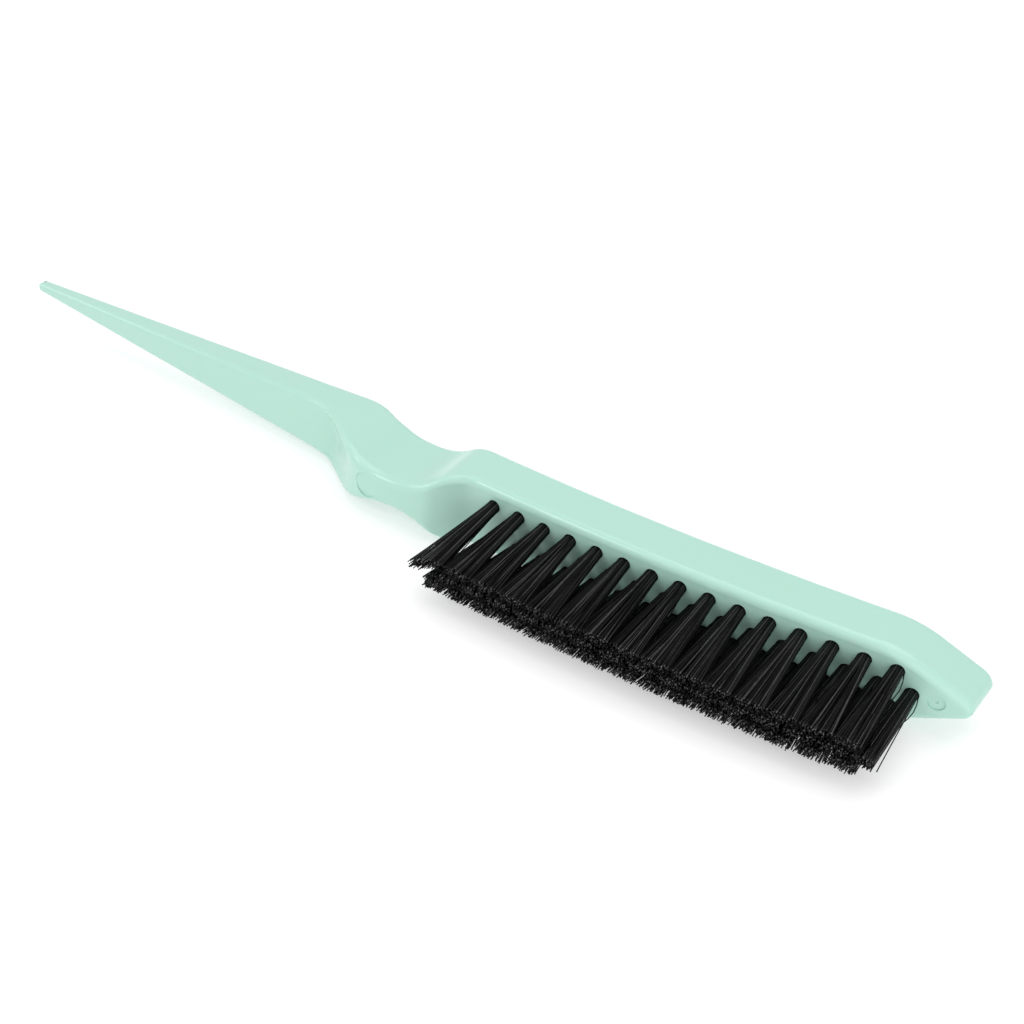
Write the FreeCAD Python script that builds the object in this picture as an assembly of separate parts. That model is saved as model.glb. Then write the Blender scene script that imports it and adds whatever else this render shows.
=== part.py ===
import FreeCAD, Part
import math
import os

from FreeCAD import Matrix, Placement, Rotation, Vector

# A back-combing brush: one moulded handle (tail, neck and bristle head), and three rows of nylon
# tufts, each folded round a flat wire anchor that is driven into a blind hole.
#
# Millimetres. x runs along the brush, from the tail's tip to the head's tip, with 0 at the middle
# tuft of an outer row. The bristles point to -y. z is across the brush, with 0 on its middle plane.
# At the end everything is moved so that the brush lies on one side of its head with z up.

# Bristle field
TUFT_PITCH = 5.5
TUFTS_PER_ROW = 15
ROW_SPACING = 3.64
MIDDLE_ROW_SHIFT = 3.1
BRISTLE_LENGTH = 19.2
TIP_ROW_SPACING = 2.3
TIP_DRIFT = 0.155
DRIFT_START = 5
TIP_RADIUS_X = 2.2
TIP_RADIUS_Z = 1.25

# Tuft holes and anchors
HOLE_RADIUS = 1.3
HOLE_DEPTH = 6.5
DRILL_POINT = 0.6
TUFT_GAP = 0.02
ANCHOR_THICKNESS = 0.4
ANCHOR_HEIGHT = 1.8
ANCHOR_LENGTH = 3.2
FOLD_HEIGHT = 0.9

# Head
HEAD_WIDTH = 14.9
HEAD_THICKNESS = 10.7
CROWN_RADIUS = 591.0
SIDE_FLAT_WIDTH = 14.8
HEAD_START = -43.8
HEAD_TIP = 51.55

# Head's shoulders, where the neck widens into it
SIDE_SHOULDER_X = -48.0
SIDE_SHOULDER_RADIUS = 8.3
BACK_SHOULDER_X = -51.3
BACK_SHOULDER_RADIUS = 58.0
FRONT_SHOULDER_RADIUS = 6.0

# Head's nose: it narrows to a blunt tip that leans forward
NOSE_START = 38.45
NOSE_START_RADIUS = 20.8
NOSE_HALF_WIDTH = 1.43
NOSE_LEAN = 0.084
NOSE_LEAN_START = 40.0
NOSE_PIVOT = 4.8
NOSE_SIDE_RADIUS = 1.4
NOSE_BACK_RADIUS = 2.3
NOSE_FRONT_RADIUS = 0.8

# Neck
NECK_X = -58.56
NECK_WIDTH = 6.57
NECK_HALF_LENGTH = 4.42
NECK_SIDE_RADIUS = 15.0
NECK_BACK = 13.78
NECK_BACK_X = -68.75
NECK_BACK_RADIUS = 7.8
CREST_FRONT = -2.84
CREST_END = -50.76
CREST_RADIUS = 10.3
CREST_END_RADIUS = 5.0

# Tail
TAIL_START = -72.3
TAIL_SIDE_RADIUS = 23.0
TAIL_BACK_RADIUS = 16.0
TAIL_TIP = -171.6
TAIL_TIP_FRONT = 16.81
TAIL_TIP_BACK = 19.23
TAIL_TIP_HALF_WIDTH = 0.89
TAIL_FRONT_SLOPE = -0.107
TAIL_BACK_SLOPE = -0.042
TAIL_WIDTH = 13.38

# The flank between the tail's flat front and the neck's crest is part of a cone
FLANK_CENTRE = -84.5
FLANK_APEX = 12.47
FLANK_SLOPE = 0.91
CREASE_SOFTNESS = 0.5

# Long edges
EDGE_RADIUS = 1.6
TIP_EDGE_RADIUS = 0.6
TAIL_END_RADIUS = 0.9
SMALLEST_RADIUS = 0.2

# Round marks that the mould's pins leave on the front: (x, radius) of each shallow recess
PIN_MARKS = ((-64.5, 2.65), (45.7, 1.5))
MARK_DEPTH = 0.3
DIMPLE_RADIUS = 0.25
DIMPLE_DEPTH = 0.45

# Loft sections
FRONT_STEPS = 8
END_ANGLES = (80, 70, 60, 50, 40, 30, 20, 10, 0)
NO_INSET = (0.0, 0.0, 0.0)
SECTION_RUNS = (
    (-170.0, 0.4),
    (-167.0, 1.0),
    (-161.0, 3.0),
    (-89.0, 8.0),
    (-41.0, 1.0),
    (-39.0, 2.0),
    (33.0, 6.0),
    (HEAD_TIP - NOSE_BACK_RADIUS, 1.25),
)

# Reach of cutting shapes and of straight profile ends past the handle
MARGIN = 10.0


def rounded_profile(corners):
    """A function of x: the polyline through (x, y, radius) corners, rounded at its inner ones."""
    arcs = []
    for before, (x, y, radius), after in zip(corners, corners[1:], corners[2:]):
        angle_in = math.atan2(y - before[1], x - before[0])
        angle_out = math.atan2(after[1] - y, after[0] - x)
        side = math.copysign(1, angle_out - angle_in)
        reach = radius * math.tan(abs(angle_out - angle_in) / 2)
        start = x - reach * math.cos(angle_in)
        centre_x = start - side * radius * math.sin(angle_in)
        centre_y = y - reach * math.sin(angle_in) + side * radius * math.cos(angle_in)
        arcs.append((start, x + reach * math.cos(angle_out), centre_x, centre_y, side, radius))

    def height(x):
        for start, end, centre_x, centre_y, side, radius in arcs:
            if start <= x <= end:
                return centre_y - side * math.sqrt(radius**2 - (x - centre_x) ** 2)
        for (x_a, y_a, *_), (x_b, y_b, *_) in zip(corners, corners[1:]):
            if x <= x_b:
                break
        return y_a + (y_b - y_a) * (x - x_a) / (x_b - x_a)

    return height


# The head's front and back are arcs about one centre, met by tangents that slope by CROWN_SLOPE.
CROWN_SLOPE = -HEAD_START / CROWN_RADIUS
FRONT_APEX = HEAD_START * CROWN_SLOPE / 2
BACK_RADIUS = CROWN_RADIUS - HEAD_THICKNESS
BACK_APEX = HEAD_THICKNESS - BACK_RADIUS * CROWN_SLOPE**2 / 2
BEYOND = HEAD_TIP + MARGIN

half_width = rounded_profile(
    [
        (TAIL_TIP, TAIL_TIP_HALF_WIDTH, 0),
        (TAIL_START, TAIL_WIDTH / 2, TAIL_SIDE_RADIUS),
        (NECK_X - NECK_HALF_LENGTH, NECK_WIDTH / 2, NECK_SIDE_RADIUS),
        (NECK_X + NECK_HALF_LENGTH, NECK_WIDTH / 2, NECK_SIDE_RADIUS),
        (SIDE_SHOULDER_X, HEAD_WIDTH / 2, SIDE_SHOULDER_RADIUS),
        (NOSE_START, HEAD_WIDTH / 2, NOSE_START_RADIUS),
        (HEAD_TIP, NOSE_HALF_WIDTH, 0),
    ]
)
back = rounded_profile(
    [
        (TAIL_TIP, TAIL_TIP_BACK, 0),
        (TAIL_START, TAIL_TIP_BACK + TAIL_BACK_SLOPE * (TAIL_START - TAIL_TIP), TAIL_BACK_RADIUS),
        (NECK_BACK_X, NECK_BACK, NECK_BACK_RADIUS),
        (BACK_SHOULDER_X, BACK_APEX - BACK_SHOULDER_X * CROWN_SLOPE, BACK_SHOULDER_RADIUS),
        (0, BACK_APEX, BACK_RADIUS),
        (BEYOND, BACK_APEX + BEYOND * CROWN_SLOPE, 0),
    ]
)
crest_and_head_front = rounded_profile(
    [
        (TAIL_TIP, CREST_FRONT, 0),
        (CREST_END, CREST_FRONT, CREST_END_RADIUS),
        (HEAD_START, FRONT_APEX - HEAD_START * CROWN_SLOPE, FRONT_SHOULDER_RADIUS),
        (0, FRONT_APEX, CROWN_RADIUS),
        (BEYOND, FRONT_APEX + BEYOND * CROWN_SLOPE, 0),
    ]
)
flank = rounded_profile(
    [
        (0, FLANK_APEX, 0),
        ((FLANK_APEX - CREST_FRONT) / FLANK_SLOPE, CREST_FRONT, CREST_RADIUS),
        (HEAD_TIP - TAIL_TIP, CREST_FRONT, 0),
    ]
)


def tail_front(x):
    return TAIL_TIP_FRONT + TAIL_FRONT_SLOPE * (x - TAIL_TIP)


def front(x, z):
    """The front surface: the tail's flat face, then the cone's flank, the crest and the head.

    The tail's face and the flank meet in a crease that is softened a little.
    """
    bulge = max(flank(math.hypot(max(x - FLANK_CENTRE, 0), z)), crest_and_head_front(x))
    if x > NECK_X:
        return bulge
    bulge += max(FLANK_CENTRE - x, 0)
    return (tail_front(x) + bulge - math.hypot(tail_front(x) - bulge, CREASE_SOFTNESS)) / 2


def section(x, insets=NO_INSET):
    """A closed section of the handle at x, drawn in at its sides, back and front by insets.

    It is a rounded rectangle of four corner arcs, three straight sides and a front edge that
    follows the front surface.
    """
    side_inset, back_inset, front_inset = insets
    full = min(1, (x - TAIL_TIP) / (FLANK_CENTRE - TAIL_TIP))
    radius = TIP_EDGE_RADIUS + (EDGE_RADIUS - TIP_EDGE_RADIUS) * full
    radius = max(radius - side_inset, SMALLEST_RADIUS)
    half = half_width(x) - side_inset
    back_y = back(x) - back_inset
    lean = NOSE_LEAN * max(0, x - NOSE_LEAN_START) / (HEAD_TIP - NOSE_LEAN_START)

    def place(across, y):
        shift = lean * (y - NOSE_PIVOT)
        return Vector(x + shift, y, across * half_width(x + shift) / half_width(x))

    def corner(side, is_back):
        points = []
        for angle in (0, math.pi / 4, math.pi / 2):
            across = half - radius + radius * math.cos(angle)
            rise = radius * (1 - math.sin(angle))
            y = back_y - rise if is_back else front(x, across) + front_inset + rise
            points.append(place(side * across, y))
        if (side > 0) != is_back:
            points.reverse()
        return Part.Arc(*points).toShape()

    inner = half - radius
    front_points = []
    for step in range(FRONT_STEPS + 1):
        across = inner * (2 * step / FRONT_STEPS - 1)
        front_points.append(place(across, front(x, across) + front_inset))
    front_edge = Part.BSplineCurve()
    front_edge.interpolate(Points=front_points, Parameters=[float(n) for n in range(FRONT_STEPS + 1)])

    corners = [corner(1, True), corner(-1, True), corner(-1, False), corner(1, False)]
    edges = []
    for index, arc in enumerate(corners):
        edges.append(arc)
        if index == 2:
            edges.append(front_edge.toShape())
        else:
            following = corners[(index + 1) % 4]
            ends = arc.lastVertex(True).Point, following.firstVertex(True).Point
            edges.append(Part.LineSegment(*ends).toShape())
    return Part.Wire(edges)


def rounded_end(tip, direction, radii):
    """Closed ring sections from a blunt tip, rounded by the side, back and front radii."""
    rings = []
    for degrees in END_ANGLES:
        reach = max(radii) * (1 - math.sin(math.radians(degrees)))
        insets = [radius - math.sqrt(radius**2 - max(0, radius - reach) ** 2) for radius in radii]
        rings.append(section(tip + direction * reach, insets))
    return rings


def handle_skin():
    """The handle's outer form: a smooth loft, closed by a rounded end at each tip."""
    tail_end = rounded_end(TAIL_TIP, 1, [TAIL_END_RADIUS] * 3)
    nose_end = rounded_end(HEAD_TIP, -1, [NOSE_SIDE_RADIUS, NOSE_BACK_RADIUS, NOSE_FRONT_RADIUS])
    sections = [tail_end[-1]]
    start = TAIL_TIP + TAIL_END_RADIUS
    for end, step in SECTION_RUNS:
        count = round((end - start) / step)
        for index in range(1, count + 1):
            sections.append(section(start + (end - start) * index / count))
        start = end
    ends = [Part.makeLoft(rings, True, True) for rings in (tail_end, nose_end)]
    return Part.makeLoft(sections, True, False).fuse(ends)


# Tuft places: the outer rows share their stations, and the middle row sits between them.
ROWS = {
    "a": (ROW_SPACING, TIP_ROW_SPACING, 0.0),
    "b": (0.0, 0.0, MIDDLE_ROW_SHIFT),
    "c": (-ROW_SPACING, -TIP_ROW_SPACING, 0.0),
}


def tuft_places(row):
    """(root point on the front face, outward direction) of each tuft of a row."""
    across, _, shift = ROWS[row]
    places = []
    for number in range(TUFTS_PER_ROW):
        x = (number - (TUFTS_PER_ROW - 1) / 2) * TUFT_PITCH + shift
        root = Vector(x, crest_and_head_front(x), across)
        outward = Vector(x / CROWN_RADIUS, -1, 0)
        places.append((root, outward.normalize()))
    return places


def ellipse_wire(centre, outward, radius_x, radius_z):
    """A closed ellipse square to outward, as one edge that starts on its z side."""
    along = outward.cross(Vector(0, 0, 1))
    circle = Part.Circle(Vector(0, 0, 0), Vector(0, 0, 1), 1.0).toShape()
    stretch = Matrix()
    stretch.A = (
        along.x * radius_x, 0, outward.x, centre.x,
        along.y * radius_x, 0, outward.y, centre.y,
        0, radius_z, 0, centre.z,
        0, 0, 0, 1,
    )
    return Part.Wire(circle.transformGeometry(stretch))


def anchor(root, outward):
    """A flat wire anchor near the bottom of its hole, with its length across the brush."""
    block = Part.makeBox(
        ANCHOR_THICKNESS,
        ANCHOR_HEIGHT,
        ANCHOR_LENGTH,
        Vector(-ANCHOR_THICKNESS / 2, HOLE_DEPTH - FOLD_HEIGHT - ANCHOR_HEIGHT, -ANCHOR_LENGTH / 2),
    )
    block.Placement = Placement(root, Rotation(Vector(0, -1, 0), outward))
    return block


def tuft(row, number, root, outward):
    """One tuft: a round bundle in its hole that flares to an oval, trimmed tip outside it.

    Towards the head's tip the bristles lean back a little more with each tuft.
    """
    bottom = root - outward * (HOLE_DEPTH - TUFT_GAP)
    tip = root + outward * BRISTLE_LENGTH
    tip.x -= TIP_DRIFT * max(0, number - DRIFT_START)
    tip.z = ROWS[row][1]
    radius = HOLE_RADIUS - TUFT_GAP
    rings = [
        ellipse_wire(bottom, outward, radius, radius),
        ellipse_wire(root, outward, radius, radius),
        ellipse_wire(tip, outward, TIP_RADIUS_X, TIP_RADIUS_Z),
    ]
    return Part.makeLoft(rings, True, True).cut(anchor(root, outward))


def drilled_hole(root, outward):
    """A blind hole with a drill point, started a little outside the face."""
    start = root + outward
    straight = Part.makeCylinder(HOLE_RADIUS, HOLE_DEPTH + 1, start, -outward)
    point = Part.makeCone(HOLE_RADIUS, 0, DRILL_POINT, root - outward * HOLE_DEPTH, -outward)
    return straight.fuse(point)


def front_hole(x, radius, depth):
    """A round cutter, square to the front surface, that goes in to depth."""
    slope = (front(x + radius, 0) - front(x - radius, 0)) / (2 * radius)
    inward = Vector(-slope, 1, 0).normalize()
    bottom = Vector(x, front(x, 0), 0) + inward * depth
    return Part.makeCylinder(radius, depth + radius, bottom, -inward)


def pin_marks():
    """The cutters of the pin marks, and of the dimple in the one nearest the head's tip."""
    cutters = [front_hole(x, radius, MARK_DEPTH) for x, radius in PIN_MARKS]
    nearest_the_tip = PIN_MARKS[-1][0]
    cutters.append(front_hole(nearest_the_tip, DIMPLE_RADIUS, DIMPLE_DEPTH))
    return cutters


def handle():
    """The one moulded piece: tail, neck and head, with its tuft holes and pin marks."""
    flats = Part.makeBox(
        HEAD_TIP - TAIL_TIP + 2 * MARGIN,
        2 * (TAIL_TIP_BACK + MARGIN),
        SIDE_FLAT_WIDTH,
        Vector(TAIL_TIP - MARGIN, -TAIL_TIP_BACK - MARGIN, -SIDE_FLAT_WIDTH / 2),
    )
    body = handle_skin().common(flats)
    cuts = pin_marks()
    for row in ROWS:
        for root, outward in tuft_places(row):
            cuts.append(drilled_hole(root, outward))
            cuts.append(anchor(root, outward))
    return body.cut(cuts)


# The middle of the bottom of the whole brush's box, as it lies on one side of its head
NOSE_REACH = HEAD_TIP + NOSE_LEAN * (back(HEAD_TIP) - NOSE_BACK_RADIUS - NOSE_PIVOT)
TOP_Y = TAIL_TIP_BACK + TAIL_BACK_SLOPE * TAIL_END_RADIUS
ORIGIN = Vector((TAIL_TIP + NOSE_REACH) / 2, (TOP_Y - BRISTLE_LENGTH) / 2, -SIDE_FLAT_WIDTH / 2)


def main():
    nodes = {"handle": handle()}
    for row in ROWS:
        places = tuft_places(row)
        for number, (root, outward) in enumerate(places, start=1):
            nodes[f"tuft_{row}_{number:02d}"] = tuft(row, number, root, outward)
        nodes[f"anchors_{row}"] = Part.Compound([anchor(*place) for place in places])

    os.makedirs("parts", exist_ok=True)
    for name, shape in nodes.items():
        shape.translate(-ORIGIN)
        shape.exportStep(f"parts/{name}.step")


main()
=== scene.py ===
import math

import bpy
import numpy as np
from mathutils import Matrix, Vector


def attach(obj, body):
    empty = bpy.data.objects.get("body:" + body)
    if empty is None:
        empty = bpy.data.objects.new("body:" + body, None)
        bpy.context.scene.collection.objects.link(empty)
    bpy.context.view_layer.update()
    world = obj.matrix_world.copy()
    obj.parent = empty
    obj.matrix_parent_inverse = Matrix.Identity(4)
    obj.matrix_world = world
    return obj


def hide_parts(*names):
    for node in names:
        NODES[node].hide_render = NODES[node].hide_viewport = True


# A back-combing brush on a white studio floor. The handle and the wire anchors are the CAD's own
# meshes with better materials. Each CAD tuft is replaced by a bundle of nylon strands, every one
# folded round its wire anchor and combed out to the tuft's trimmed tip.
# Lengths are in metres.

MM = 0.001

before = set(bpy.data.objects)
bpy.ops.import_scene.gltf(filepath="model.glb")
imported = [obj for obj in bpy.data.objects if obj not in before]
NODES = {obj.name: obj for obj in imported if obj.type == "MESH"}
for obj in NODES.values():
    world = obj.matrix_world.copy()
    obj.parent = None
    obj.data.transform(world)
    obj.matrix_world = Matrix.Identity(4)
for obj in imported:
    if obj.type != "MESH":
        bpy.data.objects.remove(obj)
bpy.context.view_layer.update()
SCENE = bpy.context.scene

# Camera. It looks at its target from straight in front (-Y), turned by the azimuth, raised by the
# elevation and tipped by the roll, all in degrees.
CAMERA_AZIMUTH = 29.84
CAMERA_ELEVATION = 35.67
CAMERA_ROLL = 3.65
CAMERA_DISTANCE = 271.3 * MM
CAMERA_TARGET = Vector((22.355, 6.134, 7.40)) * MM
CAMERA_LENS = 51.404

# Studio. Each light's name, place, target, diameter and power in watts.
LIGHTS = (
    ("key", (-0.36, -0.52, 0.63), (0, 0, 0), 0.26, 0.95),
    ("top", (0.05, 0.15, 0.90), (0, 0, 0), 0.9, 2.75),
    ("glint", (-0.77, -0.21, 0.41), (0, 0, 0), 0.2, 0.5),
    ("right", (0.24, -0.22, 0.09), (0.1, 0, 0), 0.34, 0.27),
)
WORLD_STRENGTH = 0.76
FLOOR_HALF_SIZE = 3.0

# Tuft holes and wire anchors, as they are in the CAD. The anchor's top and bottom are heights
# above the bottom of the hole. A CAD tuft's vertices within LEVEL_BAND of a level belong to it.
HOLE_DEPTH = 6.5 * MM
TUFT_GAP = 0.02 * MM
ANCHOR_TOP = 2.7 * MM
ANCHOR_BOTTOM = 0.9 * MM
ANCHOR_THICKNESS = 0.4 * MM
LEVEL_BAND = 0.35 * MM

# Bundles of strands
ROWS = "abc"
TUFTS_PER_ROW = 15
STRANDS_PER_TUFT = 62
BUNDLE_RADIUS = 1.19 * MM
TIP_HALF_SIZE = np.array([2.7, 1.2]) * MM
SEED = 11

# One strand, a tube with a burr at each cut end
STRAND_RADIUS = 0.1 * MM
STRAND_SIDES = 5
OUTSIDE_STEPS = 11
BURR_LENGTH = 0.12 * MM
BURR_SWELL = 1.3

# Inside the hole a strand is pressed against its anchor, with CLEARANCE strand radii between, and
# the bundle is SQUEEZE of its round width. ROUND_DEPTH is where it is round again. The strand
# passes under the anchor in an arc.
CLEARANCE = 1.3
SQUEEZE = 0.62
ROUND_DEPTH = 2.0 * MM
FOLD_RADIUS = 0.55 * MM
FOLD_ANGLES = (-60, -20, 20, 60)

# How the cut ends lie: scattered and drawn into clumps, by shares of the tip's half size, with a
# few strays along the brush.
TIP_SCATTER = 0.05
CLUMPS = 9
CLUMP_PULL = 0.18
STRAY_SHARE = 0.04
STRAY_REACH = 1.0 * MM

# How the strands differ: in length, with a few that are cut short or stand out, in their bend,
# and in how much of their spread comes late, near the tip.
LENGTH_SCATTER = 0.05 * MM
SHORT_SHARE = 0.05
SHORT_BY = 1.2 * MM
LONG_SHARE = 0.03
LONG_BY = 0.7 * MM
BEND_SCATTER = 0.09 * MM
LATE_SPREAD = 0.2

# The first tuft of a row has nothing to hold its free side in, so its tip spreads towards the
# tail and sags, or is pushed back under its neighbour: (spread, sag) of the outermost strands.
# A strand is the freer the further it starts on the tail's side of FREE_START, in bundle radii
# from the middle, and FREE_GAIN makes that about 1 for the outermost.
FIRST_SPREAD = {"a": (2.2 * MM, 2.6 * MM), "b": (0.9 * MM, 0.8 * MM), "c": (-1.5 * MM, 0.0)}
FREE_START = 0.2
FREE_GAIN = 0.85

# The last tufts stay nearly straight on their free side: how much of the usual spread they keep.
# One outer strand of each has sprung out of its bundle near the root.
LAST_SPREAD = {"a": 0.75, "b": 0.45, "c": 0.75}
SPRUNG_BOW = 0.6 * MM
SPRUNG_REACH = 0.4


def camera_directions():
    """The camera's right, up and backward directions."""
    azimuth = math.radians(CAMERA_AZIMUTH)
    elevation = math.radians(CAMERA_ELEVATION)
    roll = math.radians(CAMERA_ROLL)
    level = Vector((math.cos(azimuth), math.sin(azimuth), 0))
    forward = Vector((-math.sin(azimuth), math.cos(azimuth), 0))
    back = Vector((0, 0, math.sin(elevation))) - forward * math.cos(elevation)
    right = level * math.cos(roll) + back.cross(level) * math.sin(roll)
    return right, back.cross(right), back


def make_camera():
    """The camera that takes the main view."""
    right, up, back = camera_directions()
    data = bpy.data.cameras.new("camera")
    data.lens = CAMERA_LENS
    data.sensor_width = 36.0
    data.clip_start = 0.01
    data.clip_end = 20.0
    camera = bpy.data.objects.new("camera", data)
    place = Matrix((right, up, back)).transposed().to_4x4()
    place.translation = CAMERA_TARGET + back * CAMERA_DISTANCE
    camera.matrix_world = place
    SCENE.collection.objects.link(camera)
    SCENE.camera = camera


def add_light(name, place, target, diameter, power):
    """A round soft light that faces target."""
    data = bpy.data.lights.new(name, "AREA")
    data.shape = "DISK"
    data.size = diameter
    data.energy = power
    light = bpy.data.objects.new(name, data)
    light.location = place
    direction = Vector(target) - Vector(place)
    light.rotation_euler = direction.to_track_quat("-Z", "Y").to_euler()
    SCENE.collection.objects.link(light)


def make_studio():
    """The lights, and a plain white world."""
    for light in LIGHTS:
        add_light(*light)
    world = bpy.data.worlds.new("studio")
    world.use_nodes = True
    background = world.node_tree.nodes["Background"]
    background.inputs["Color"].default_value = (1, 1, 1, 1)
    background.inputs["Strength"].default_value = WORLD_STRENGTH
    SCENE.world = world
    SCENE.view_settings.view_transform = "Standard"


class Material:
    """A Principled material with short calls for adding and joining nodes."""

    def __init__(self, name, **inputs):
        self.data = bpy.data.materials.new(name)
        self.data.use_nodes = True
        self.tree = self.data.node_tree
        self.shader = self.tree.nodes["Principled BSDF"]
        self.feed(self.shader, inputs)

    def feed(self, node, inputs):
        """Sets or joins each of a node's inputs, by name or number."""
        for key, value in inputs.items():
            if isinstance(value, bpy.types.NodeSocket):
                self.tree.links.new(value, node.inputs[key])
            else:
                node.inputs[key].default_value = value

    def add(self, kind, inputs, **settings):
        """A new node with its settings made and its inputs fed."""
        node = self.tree.nodes.new("ShaderNode" + kind)
        for key, value in settings.items():
            setattr(node, key, value)
        self.feed(node, inputs)
        return node

    def place(self):
        """Object coordinates, which every pattern is laid out in."""
        return self.add("TexCoord", {}).outputs["Object"]

    def noise(self, vector, scale, detail, stretch=None):
        """Noise with scale in features per metre, drawn out along an axis by stretch."""
        if stretch:
            vector = self.add("Mapping", {"Vector": vector, "Scale": stretch}).outputs[0]
        made = self.add("TexNoise", {"Vector": vector, "Scale": scale, "Detail": detail})
        return made.outputs["Fac"]

    def spread(self, value, low, high, start=0.3, end=0.7):
        """Maps value from start..end to low..high."""
        inputs = {"Value": value, "From Min": start, "From Max": end, "To Min": low, "To Max": high}
        return self.add("MapRange", inputs).outputs["Result"]

    def blend(self, factor, low, high):
        """The colour between low and high."""
        mixed = self.add("Mix", {0: factor, 6: (*low, 1), 7: (*high, 1)}, data_type="RGBA")
        return mixed.outputs[2]

    def math(self, operation, first, second):
        """One arithmetic step."""
        return self.add("Math", {0: first, 1: second}, operation=operation).outputs[0]


# A denoised render shows blotches where one material's roughness goes from under 0.27 to over it,
# so each material below stays on one side of that.


def mint_plastic():
    """Moulded mint-green plastic: glossy, with faint flow clouding and fine rubbing marks."""
    plastic = Material("mint_plastic")
    place = plastic.place()
    flow = plastic.noise(place, scale=60.0, detail=3.0, stretch=(0.3, 1.0, 1.0))
    smudges = plastic.noise(place, scale=150.0, detail=3.0)
    scratches = plastic.noise(place, scale=2500.0, detail=2.0, stretch=(0.05, 1.0, 1.0))
    skin = plastic.noise(place, scale=500.0, detail=2.0)
    bump = plastic.add("Bump", {"Height": skin, "Strength": 0.15, "Distance": 0.03 * MM})
    smudged = plastic.spread(smudges, low=0.15, high=0.21)
    scratched = plastic.spread(scratches, low=0.0, high=0.05)
    plastic.feed(
        plastic.shader,
        {
            "Base Color": plastic.blend(flow, (0.405, 0.655, 0.560), (0.430, 0.685, 0.592)),
            "Roughness": plastic.math("ADD", smudged, scratched),
            "Normal": bump.outputs["Normal"],
            "Subsurface Weight": 0.15,
            "Subsurface Radius": (0.6, 1.0, 0.85),
            "Subsurface Scale": 1.0 * MM,
        },
    )
    return plastic.data


def black_nylon():
    """Black filament: a few random strands have a paler base colour, a painted highlight that shows as
    fine light lines.
    """
    nylon = Material("black_nylon")
    strand = nylon.add("NewGeometry", {}).outputs["Random Per Island"]
    dust = nylon.noise(nylon.place(), scale=1500.0, detail=2.0)
    dulled = nylon.spread(dust, low=0.6, high=1.0)
    # pale is a painted highlight: a lighter base colour on a few random strands, dimmed in patches by the
    # dust noise.
    pale = nylon.math("MULTIPLY", nylon.math("POWER", strand, 7.0), dulled)
    nylon.feed(
        nylon.shader,
        {
            "Base Color": nylon.blend(pale, (0.001, 0.001, 0.001), (0.10, 0.10, 0.102)),
            "Roughness": nylon.spread(dust, low=0.14, high=0.25),
            "Specular IOR Level": nylon.spread(strand, low=0.06, high=0.25, start=0.0, end=1.0),
        },
    )
    return nylon.data


def cut_nylon():
    """The cut ends of the filaments: dull, some whitened at random, with a painted highlight, a lighter
    base colour on the burrs' upward-facing sides.
    """
    cut = Material("cut_nylon")
    geometry = cut.add("NewGeometry", {}).outputs
    strand = geometry["Random Per Island"]
    tearing = cut.noise(cut.place(), scale=9000.0, detail=2.0)
    upward = cut.add("SeparateXYZ", {"Vector": geometry["Normal"]}).outputs["Z"]
    whitened = cut.math("POWER", strand, 5.0)
    # Painted highlight: the base colour is made lighter where the surface faces up, on the burrs' upper
    # sides.
    painted_top_highlight = cut.math("MULTIPLY", cut.spread(upward, low=0.0, high=0.5, start=0.1, end=0.8), strand)
    # pale joins the random whitening of the cut ends with that painted highlight.
    pale = cut.math("MULTIPLY", cut.math("MAXIMUM", whitened, painted_top_highlight), tearing)
    cut.feed(
        cut.shader,
        {
            "Base Color": cut.blend(pale, (0.002, 0.002, 0.002), (0.26, 0.26, 0.26)),
            "Roughness": cut.spread(tearing, low=0.5, high=0.8),
            "Specular IOR Level": 0.1,
        },
    )
    return cut.data


def anchor_metal():
    """Bright flat wire, drawn along its length."""
    wire = Material("anchor_metal", Metallic=1.0)
    drawn = wire.noise(wire.place(), scale=4000.0, detail=2.0, stretch=(1.0, 1.0, 0.05))
    wire.feed(
        wire.shader,
        {
            "Base Color": wire.blend(drawn, (0.62, 0.62, 0.63), (0.80, 0.80, 0.81)),
            "Roughness": wire.spread(drawn, low=0.30, high=0.45),
        },
    )
    return wire.data


def floor_white():
    """Matt white paper, faintly lit from within so that the brush's shadow stays soft and pale."""
    paper = Material("floor_white")
    grain = paper.noise(paper.place(), scale=30.0, detail=2.0)
    paper.feed(
        paper.shader,
        {
            "Base Color": paper.blend(grain, (0.60, 0.60, 0.60), (0.62, 0.62, 0.62)),
            "Roughness": 0.9,
            "Emission Color": (1, 1, 1, 1),
            "Emission Strength": 0.44,
        },
    )
    return paper.data


def make_floor():
    """A white square that the brush lies on."""
    signs = ((-1, -1), (1, -1), (1, 1), (-1, 1))
    corners = [(x * FLOOR_HALF_SIZE, y * FLOOR_HALF_SIZE, 0) for x, y in signs]
    mesh = bpy.data.meshes.new("floor")
    mesh.from_pydata(corners, [], [(0, 1, 2, 3)])
    mesh.materials.append(floor_white())
    floor = bpy.data.objects.new("floor", mesh)
    SCENE.collection.objects.link(floor)


def tuft_axis(node):
    """The middles of a CAD tuft's bottom, its root at the face, and its tip."""
    mesh = NODES[node].data
    points = np.empty(len(mesh.vertices) * 3)
    mesh.vertices.foreach_get("co", points)
    points = points.reshape(-1, 3)
    y = points[:, 1]
    levels = (y.max(), y.max() - HOLE_DEPTH + TUFT_GAP, y.min())
    return [points[abs(y - level) < LEVEL_BAND].mean(axis=0) for level in levels]


def disc_to_square(points):
    """Spreads points of the unit disc over the square from -1 to 1, keeping their order."""
    x, y = points[:, 0], points[:, 1]
    lean = x**2 - y**2
    skew = 2 * math.sqrt(2)
    across = np.sqrt(np.maximum(2 + lean + skew * x, 0)) - np.sqrt(np.maximum(2 + lean - skew * x, 0))
    up = np.sqrt(np.maximum(2 - lean + skew * y, 0)) - np.sqrt(np.maximum(2 - lean - skew * y, 0))
    return np.stack([across, up], axis=1) / 2


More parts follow.
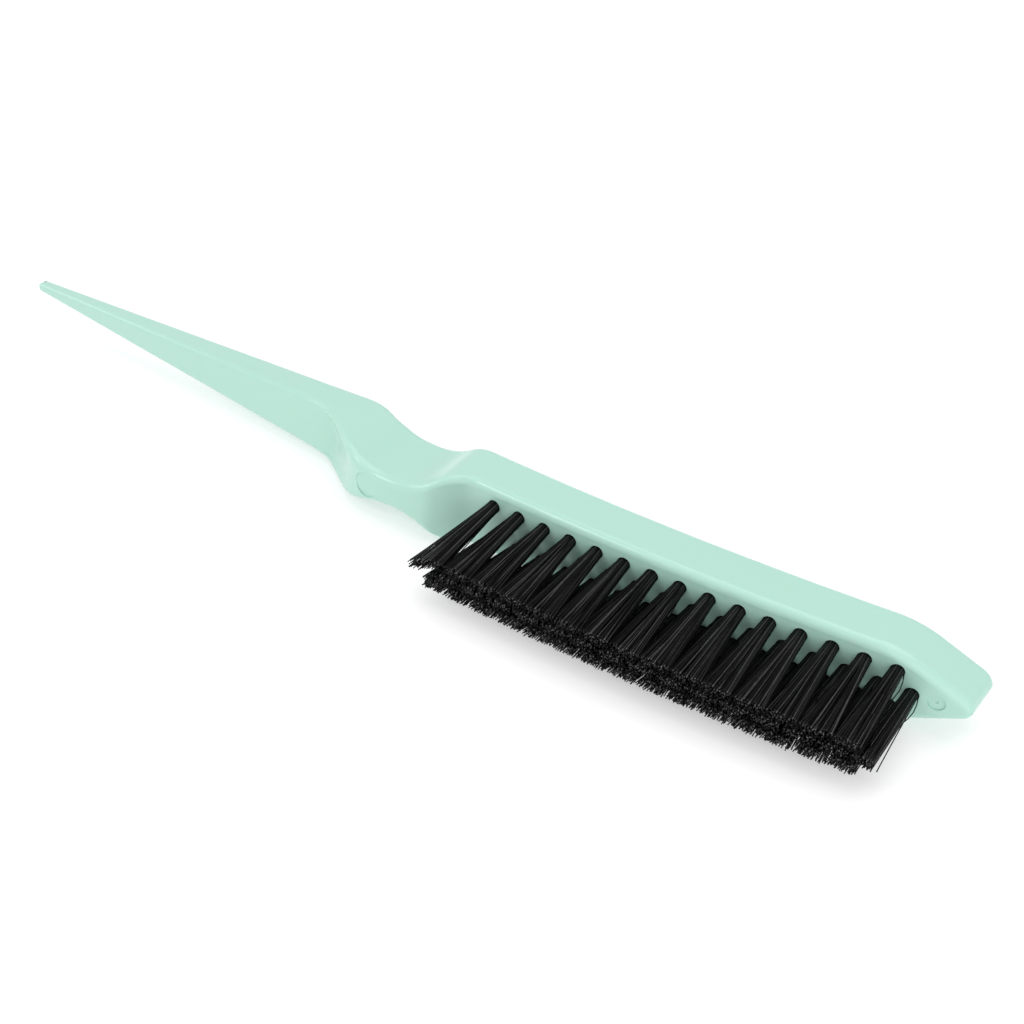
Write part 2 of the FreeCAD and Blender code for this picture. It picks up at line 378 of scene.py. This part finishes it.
def paired_places(count):
    """Places in the unit disc for both legs of each strand, one on each side of the anchor."""
    index = np.arange(2 * count)
    radius = np.sqrt((index + 0.5) / (2 * count))
    golden_angle = math.pi * (3 - math.sqrt(5))
    angle = index * golden_angle
    places = np.stack([radius * np.cos(angle), radius * np.sin(angle)], axis=1)
    places = places[np.argsort(places[:, 0])]
    sides = places[:count], places[count:]
    return [side[np.argsort(side[:, 1])] for side in sides]


def tube_mesh(name, paths, materials):
    """One mesh of closed strands, one along each of paths.

    The last ring at each end is swollen, as a cut filament's is, and that burr and the cut face
    have the second material.
    """
    count, length, _ = paths.shape
    tangents = np.gradient(paths, axis=1)
    tangents /= np.linalg.norm(tangents, axis=2, keepdims=True)
    side = np.cross(tangents, np.array([0.0, 0.0, 1.0]))
    side /= np.linalg.norm(side, axis=2, keepdims=True)
    up = np.cross(side, tangents)
    angles = np.arange(STRAND_SIDES) * 2 * math.pi / STRAND_SIDES
    circle = np.stack([np.cos(angles), np.sin(angles)])
    rings = side[:, :, None] * circle[0][:, None] + up[:, :, None] * circle[1][:, None]
    radii = np.full(length, STRAND_RADIUS)
    radii[[0, -1]] *= BURR_SWELL
    vertices = (paths[:, :, None] + radii[:, None, None] * rings).reshape(-1, 3)
    index = np.arange(count * length * STRAND_SIDES).reshape(count, length, STRAND_SIDES)
    following = np.roll(index, -1, axis=2)
    walls = [index[:, :-1], following[:, :-1], following[:, 1:], index[:, 1:]]
    walls = np.stack(walls, axis=-1)
    is_cut = np.zeros(walls.shape[:3], dtype=int)
    is_cut[:, [0, -1]] = 1
    ends = index[:, 0, ::-1].tolist() + index[:, -1].tolist()
    mesh = bpy.data.meshes.new(name)
    mesh.from_pydata(vertices.tolist(), [], walls.reshape(-1, 4).tolist() + ends)
    mesh.polygons.foreach_set("use_smooth", [True] * is_cut.size + [False] * len(ends))
    mesh.polygons.foreach_set("material_index", is_cut.ravel().tolist() + [1] * len(ends))
    for material in materials:
        mesh.materials.append(material)
    mesh.update()
    piece = bpy.data.objects.new(name, mesh)
    SCENE.collection.objects.link(piece)
    return piece


class Tuft:
    """Where a CAD tuft stands. Places across it are pairs: along the brush, and up."""

    def __init__(self, row, number):
        self.row = row
        self.number = number
        self.node = f"tuft_{row}_{number:02d}"
        bottom, self.root, tip = tuft_axis(self.node)
        self.outward = (self.root - bottom) / np.linalg.norm(self.root - bottom)
        self.along = np.array([-self.outward[1], self.outward[0], 0.0])
        self.up = np.array([0.0, 0.0, 1.0])
        self.reach = tip - self.root
        self.height = self.reach @ self.outward

    def at_face(self, places):
        """Points level with the root, at places across the tuft."""
        return self.root + self.along * places[..., :1] + self.up * places[..., 1:]


def tip_places(tuft, start, random):
    """Where the strands that start at places in the unit disc end, across the tuft's tip."""
    count = len(start)
    end = disc_to_square(start) + random.normal(0, TIP_SCATTER, (count, 2))
    centres = random.uniform(-1, 1, (CLUMPS, 2))
    nearest = np.argmin(((end[:, None] - centres[None]) ** 2).sum(axis=2), axis=1)
    end += (centres[nearest] - end) * CLUMP_PULL * random.random((count, 1))
    end *= TIP_HALF_SIZE
    strays = random.random(count) < STRAY_SHARE
    end[:, 0] += strays * random.normal(0, STRAY_REACH, count)
    if tuft.number == 1:
        freedom = np.clip(FREE_START - start[:, :1], 0, None) * FREE_GAIN
        end -= freedom * np.array(FIRST_SPREAD[tuft.row])
    if tuft.number == TUFTS_PER_ROW:
        end[:, 0] *= np.where(end[:, 0] > 0, LAST_SPREAD[tuft.row], 1)
    return end


def strand_lengths(tuft, count, random):
    """How far out each strand is cut. A few are short, and a few stand out of the trim."""
    length = tuft.height + random.normal(0, LENGTH_SCATTER, count)
    is_short = random.random(count) < SHORT_SHARE
    length -= is_short * random.random(count) * SHORT_BY
    is_long = random.random(count) < LONG_SHARE
    length += is_long * random.random(count) * LONG_BY
    return length


def outside_paths(tuft, side, start, random):
    """The strands of one side of a tuft, from the face out to their cut ends."""
    end = tip_places(tuft, start, random)
    length = strand_lengths(tuft, len(start), random)[:, None, None]
    bend = random.normal(0, BEND_SCATTER, (len(start), 2))
    packed = start * BUNDLE_RADIUS
    done = np.append(np.linspace(0, 1 - BURR_LENGTH / tuft.height, OUTSIDE_STEPS), 1)[None, :, None]
    spread = (1 - LATE_SPREAD) * done + LATE_SPREAD * done * done
    places = packed[:, None] + (end - packed)[:, None] * spread
    places = places + bend[:, None] * np.sin(math.pi * done)
    if tuft.number == TUFTS_PER_ROW and side > 0:
        outermost = start[:, 0].argmax()
        bow = np.sin(math.pi * np.minimum(done[0, :, 0] / SPRUNG_REACH, 1))
        places[outermost, :, 0] += SPRUNG_BOW * bow
    lean = tuft.reach - tuft.outward * tuft.height
    return tuft.at_face(places) + lean * done + tuft.outward * (length * done)


def inside_paths(tuft, side, start):
    """The strands of one side of a tuft, from beside the anchor up to the face."""
    packed = start * BUNDLE_RADIUS
    pinched = packed.copy()
    nearest = ANCHOR_THICKNESS / 2 + CLEARANCE * STRAND_RADIUS
    pinched[:, 0] = side * (nearest + SQUEEZE * abs(packed[:, 0]))
    levels = (
        (pinched, HOLE_DEPTH - ANCHOR_BOTTOM),
        (pinched, HOLE_DEPTH - ANCHOR_TOP),
        (packed, ROUND_DEPTH),
    )
    points = [tuft.at_face(places) - tuft.outward * depth for places, depth in levels]
    return np.stack(points, axis=1)


def fold_paths(tuft, left, right):
    """The arcs under the anchor that join the left legs' lower ends to the right legs'."""
    middle = (left + right) / 2
    half = (right - left) / 2
    arc = [
        middle + half * math.sin(angle) - tuft.outward * FOLD_RADIUS * math.cos(angle)
        for angle in np.radians(FOLD_ANGLES)
    ]
    return np.stack(arc, axis=1)


def make_tuft(row, number, materials, random):
    """The bundle of strands that stands for one CAD tuft, each folded under the wire anchor."""
    tuft = Tuft(row, number)
    left, right = [
        np.concatenate([inside_paths(tuft, side, start), outside_paths(tuft, side, start, random)], axis=1)
        for side, start in zip((-1, 1), paired_places(STRANDS_PER_TUFT))
    ]
    fold = fold_paths(tuft, left[:, 0], right[:, 0])
    paths = np.concatenate([left[:, ::-1], fold, right], axis=1)
    piece = tube_mesh(f"bristles_{row}_{number:02d}", paths, materials)
    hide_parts(tuft.node)
    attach(piece, "root")


def finish_cad_pieces():
    """Gives the CAD meshes that are shown as they are their materials."""
    finishes = {"handle": mint_plastic()}
    metal = anchor_metal()
    for row in ROWS:
        finishes[f"anchors_{row}"] = metal
    for node, finish in finishes.items():
        NODES[node].data.materials.clear()
        NODES[node].data.materials.append(finish)


def make_bristles():
    """Every tuft of every row, from one seeded source of random numbers."""
    nylon = black_nylon(), cut_nylon()
    random = np.random.default_rng(SEED)
    for row in ROWS:
        for number in range(1, TUFTS_PER_ROW + 1):
            make_tuft(row, number, nylon, random)


make_camera()
make_studio()
make_floor()
finish_cad_pieces()
make_bristles()

bpy.context.view_layer.update()
